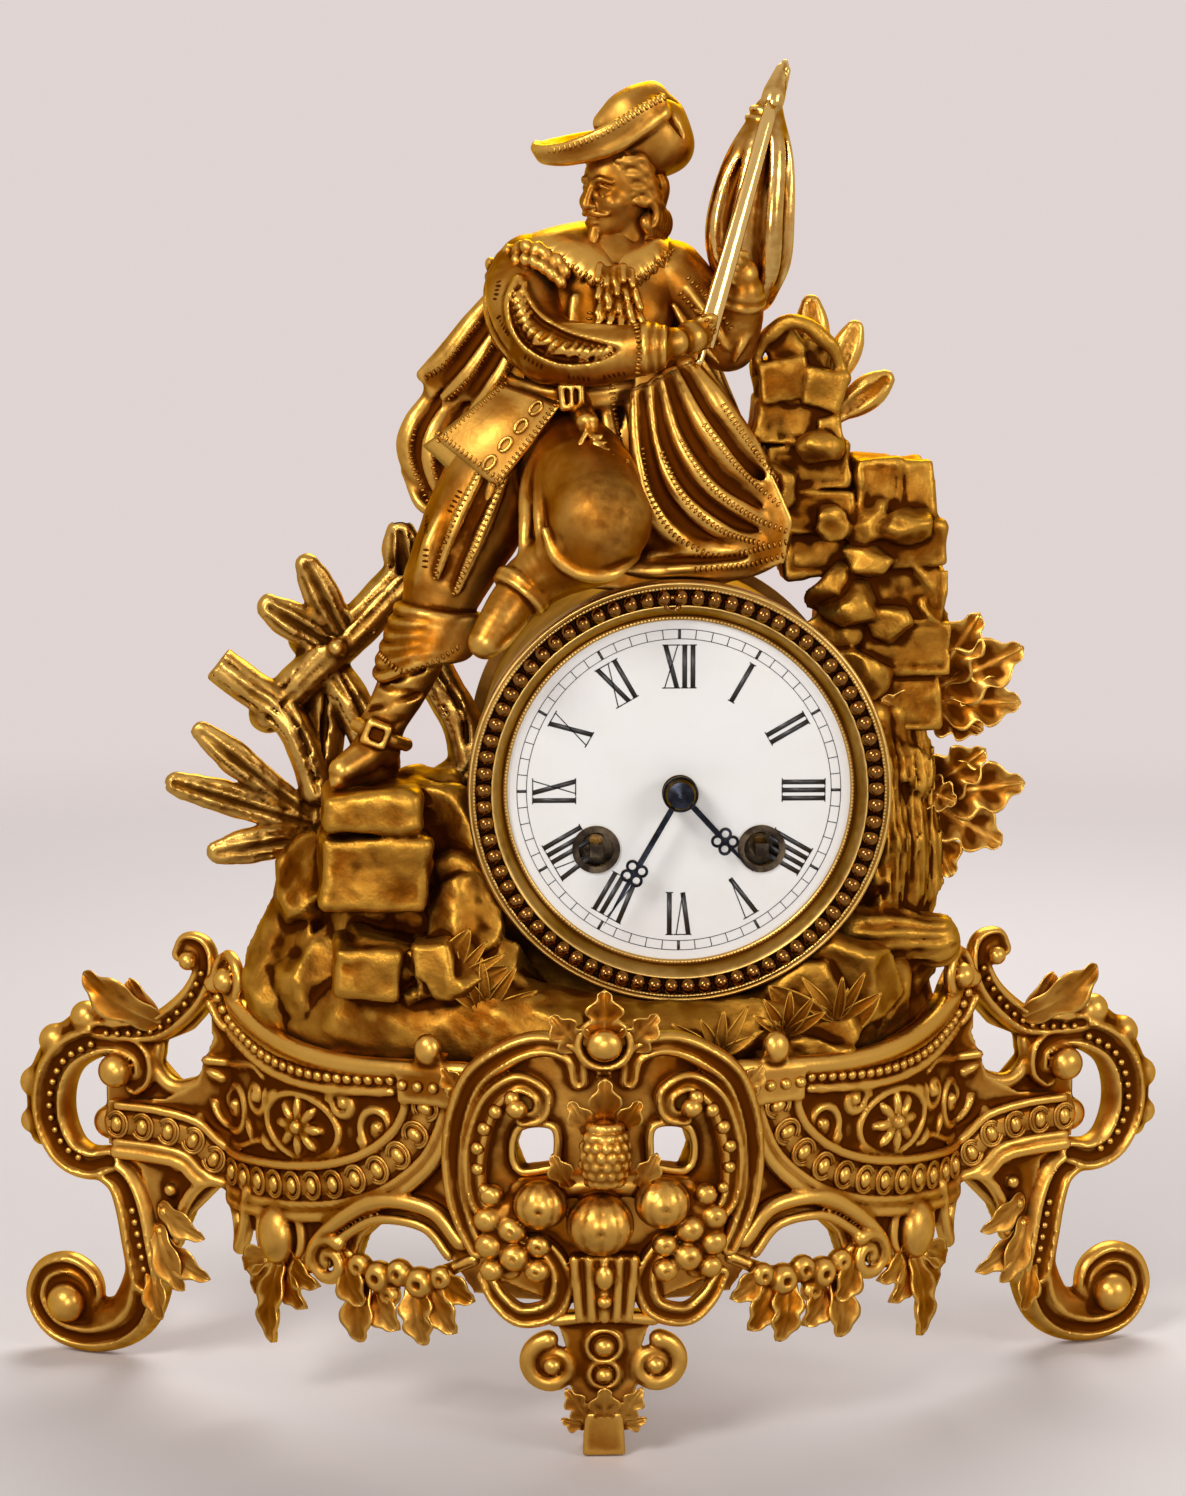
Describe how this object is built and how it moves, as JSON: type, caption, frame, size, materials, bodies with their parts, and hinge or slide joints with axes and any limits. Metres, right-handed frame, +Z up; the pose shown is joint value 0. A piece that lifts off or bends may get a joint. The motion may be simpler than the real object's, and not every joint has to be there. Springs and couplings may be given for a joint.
{
  "type": "figural mantel clock",
  "caption": "Gilt mantel clock: a seated standard bearer in cloak and brimmed hat on a drum movement in rockwork, on a bowed scroll base.",
  "frame": {"origin": "on the table, under the middle of the clock's outline", "axes": "+X to the viewer's right, +Y to the back, +Z up"},
  "size_m": [0.3202, 0.1487, 0.3579],
  "materials": {
    "gilt_casting": "aged gilt casting",
    "bright_gilt": "burnished gilt",
    "bezel_gilt": "turned and gilt",
    "case_brass": "dull brass",
    "movement_brass": "polished brass",
    "bell_metal": "turned bell metal",
    "steel": "polished steel",
    "blued_steel": "black blued steel",
    "dial_enamel": "white fired enamel"
  },
  "bodies": {
    "case": {"base_shell": "gilt_casting", "centre_cartouche": "gilt_casting", "fruit_cluster": "gilt_casting", "centre_foot": "gilt_casting", "left_wing": "gilt_casting", "right_wing": "gilt_casting", "base_garlands": "gilt_casting", "rock_mound": "gilt_casting", "base_bolts": "steel", "ruined_wall": "gilt_casting", "wall_foliage": "gilt_casting", "log_fence": "gilt_casting", "figure_trunk": "gilt_casting", "figure_head": "gilt_casting", "figure_hat": "gilt_casting", "figure_arms": "gilt_casting", "figure_legs": "gilt_casting", "figure_cape": "gilt_casting", "flag_staff": "bright_gilt", "furled_flag": "bright_gilt", "drum_case": "case_brass", "bezel": "bezel_gilt", "dial": "dial_enamel", "winding_eyelets": "bezel_gilt", "rear_bezel": "case_brass", "case_straps": "movement_brass", "front_plate": "movement_brass", "back_plate": "movement_brass", "plate_pillars": "movement_brass", "suspension_cock": "movement_brass", "bell": "bell_metal", "bell_stand": "movement_brass"},
    "minute_work": {"minute_hand": "blued_steel", "centre_arbor": "movement_brass"},
    "hour_work": {"hour_hand": "blued_steel", "hour_wheel": "movement_brass"},
    "minute_wheel": {"minute_wheel": "movement_brass"},
    "second_wheel": {"second_wheel": "movement_brass"},
    "going_barrel": {"going_barrel": "movement_brass", "going_mainspring": "steel"},
    "third_wheel": {"third_wheel": "movement_brass"},
    "escape_wheel": {"escape_wheel": "movement_brass"},
    "anchor": {"anchor": "steel"},
    "pendulum": {"pendulum_rod": "steel", "pendulum_bob": "movement_brass"},
    "going_winding": {"going_winding_arbor": "steel"},
    "going_click": {"going_click": "steel"},
    "strike_barrel": {"strike_barrel": "movement_brass", "strike_mainspring": "steel"},
    "strike_winding": {"strike_winding_arbor": "steel"},
    "strike_click": {"strike_click": "steel"},
    "strike_second": {"strike_second_wheel": "movement_brass", "count_wheel": "movement_brass"},
    "pin_wheel": {"pin_wheel": "movement_brass"},
    "warning_wheel": {"warning_wheel": "movement_brass"},
    "fly": {"fly": "steel"},
    "hammer": {"hammer": "steel"},
    "regulator": {"regulator_arbor": "steel"},
    "suspension_slide": {"suspension_slide": "movement_brass"},
    "rear_door": {"rear_door": "case_brass"}
  },
  "joints": [
    {"name": "minute_hand_turn", "type": "hinge", "parent": "case", "child": "minute_work", "pos_m": [0.021, 0, 0.168], "axis": [0, 1, 0], "continuous": true},
    {"name": "hour_hand_turn", "type": "hinge", "parent": "case", "child": "hour_work", "pos_m": [0.021, 0, 0.168], "axis": [0, 1, 0], "continuous": true},
    {"name": "minute_wheel_turn", "type": "hinge", "parent": "case", "child": "minute_wheel", "pos_m": [0.02892, 0, 0.17592], "axis": [0, 1, 0], "continuous": true},
    {"name": "second_wheel_turn", "type": "hinge", "parent": "case", "child": "second_wheel", "pos_m": [0.03479, 0, 0.17041], "axis": [0, 1, 0], "continuous": true},
    {"name": "going_barrel_turn", "type": "hinge", "parent": "case", "child": "going_barrel", "pos_m": [0.04275, 0, 0.1525], "axis": [0, 1, 0], "continuous": true},
    {"name": "third_wheel_turn", "type": "hinge", "parent": "case", "child": "third_wheel", "pos_m": [0.02594, 0, 0.18023], "axis": [0, 1, 0], "continuous": true},
    {"name": "escape_wheel_turn", "type": "hinge", "parent": "case", "child": "escape_wheel", "pos_m": [0.021, 0, 0.19144], "axis": [0, 1, 0], "continuous": true},
    {"name": "pendulum_swing", "type": "hinge", "parent": "case", "child": "pendulum", "pos_m": [0.021, 0.029, 0.20344], "axis": [0, 1, 0], "range_deg": [-5, 5]},
    {"name": "anchor_rock", "type": "hinge", "parent": "case", "child": "anchor", "pos_m": [0.021, 0, 0.20344], "axis": [0, 1, 0], "range_deg": [-5, 5]},
    {"name": "going_winding_turn", "type": "hinge", "parent": "case", "child": "going_winding", "pos_m": [0.04275, 0, 0.1525], "axis": [0, 1, 0], "range_deg": [0, 1800]},
    {"name": "going_click_lift", "type": "hinge", "parent": "case", "child": "going_click", "pos_m": [0.0485, 0, 0.14254], "axis": [0, 1, 0], "range_deg": [0, 12]},
    {"name": "pin_wheel_turn", "type": "hinge", "parent": "case", "child": "pin_wheel", "pos_m": [0.00332, 0, 0.18369], "axis": [0, 1, 0], "continuous": true},
    {"name": "strike_second_turn", "type": "hinge", "parent": "case", "child": "strike_second", "pos_m": [-0.00348, 0, 0.17191], "axis": [0, 1, 0], "continuous": true},
    {"name": "strike_barrel_turn", "type": "hinge", "parent": "case", "child": "strike_barrel", "pos_m": [-0.00075, 0, 0.1525], "axis": [0, 1, 0], "continuous": true},
    {"name": "warning_wheel_turn", "type": "hinge", "parent": "case", "child": "warning_wheel", "pos_m": [0.00636, 0, 0.19501], "axis": [0, 1, 0], "continuous": true},
    {"name": "fly_turn", "type": "hinge", "parent": "case", "child": "fly", "pos_m": [0.00487, 0, 0.20343], "axis": [0, 1, 0], "continuous": true},
    {"name": "strike_winding_turn", "type": "hinge", "parent": "case", "child": "strike_winding", "pos_m": [-0.00075, 0, 0.1525], "axis": [0, 1, 0], "range_deg": [0, 1800]},
    {"name": "strike_click_lift", "type": "hinge", "parent": "case", "child": "strike_click", "pos_m": [-0.0065, 0, 0.14254], "axis": [0, -1, 0], "range_deg": [0, 12]},
    {"name": "hammer_lift", "type": "hinge", "parent": "case", "child": "hammer", "pos_m": [-0.0165, 0, 0.18], "axis": [0, -1, 0], "range_deg": [0, 12]},
    {"name": "regulator_turn", "type": "hinge", "parent": "case", "child": "regulator", "pos_m": [0.019, 0, 0.2162], "axis": [0, 1, 0], "range_deg": [-40, 40]},
    {"name": "suspension_slide_travel", "type": "slide", "parent": "case", "child": "suspension_slide", "axis": [0, 0, 1], "range_m": [-0.00055, 0.00055]},
    {"name": "rear_door_swing", "type": "hinge", "parent": "case", "child": "rear_door", "pos_m": [-0.0365, 0.0682, 0.168], "axis": [0, 0, 1], "range_deg": [0, 110]}
  ],
  "couplings": [
    {"joint": "hour_hand_turn", "follows": "minute_hand_turn", "ratio": 0.083333},
    {"joint": "minute_wheel_turn", "follows": "minute_hand_turn", "ratio": -0.33333},
    {"joint": "second_wheel_turn", "follows": "minute_hand_turn", "ratio": -0.16667},
    {"joint": "going_barrel_turn", "follows": "minute_hand_turn", "ratio": 0.027778},
    {"joint": "third_wheel_turn", "follows": "minute_hand_turn", "ratio": -12},
    {"joint": "escape_wheel_turn", "follows": "minute_hand_turn", "ratio": 156},
    {"joint": "anchor_rock", "follows": "pendulum_swing", "ratio": 1},
    {"joint": "strike_second_turn", "follows": "pin_wheel_turn", "ratio": -0.13333},
    {"joint": "strike_barrel_turn", "follows": "pin_wheel_turn", "ratio": 0.022222},
    {"joint": "warning_wheel_turn", "follows": "pin_wheel_turn", "ratio": -8.5714},
    {"joint": "fly_turn", "follows": "pin_wheel_turn", "ratio": 61.224},
    {"joint": "regulator_turn", "follows": "suspension_slide_travel", "rad_per_m": -1250}
  ]
}
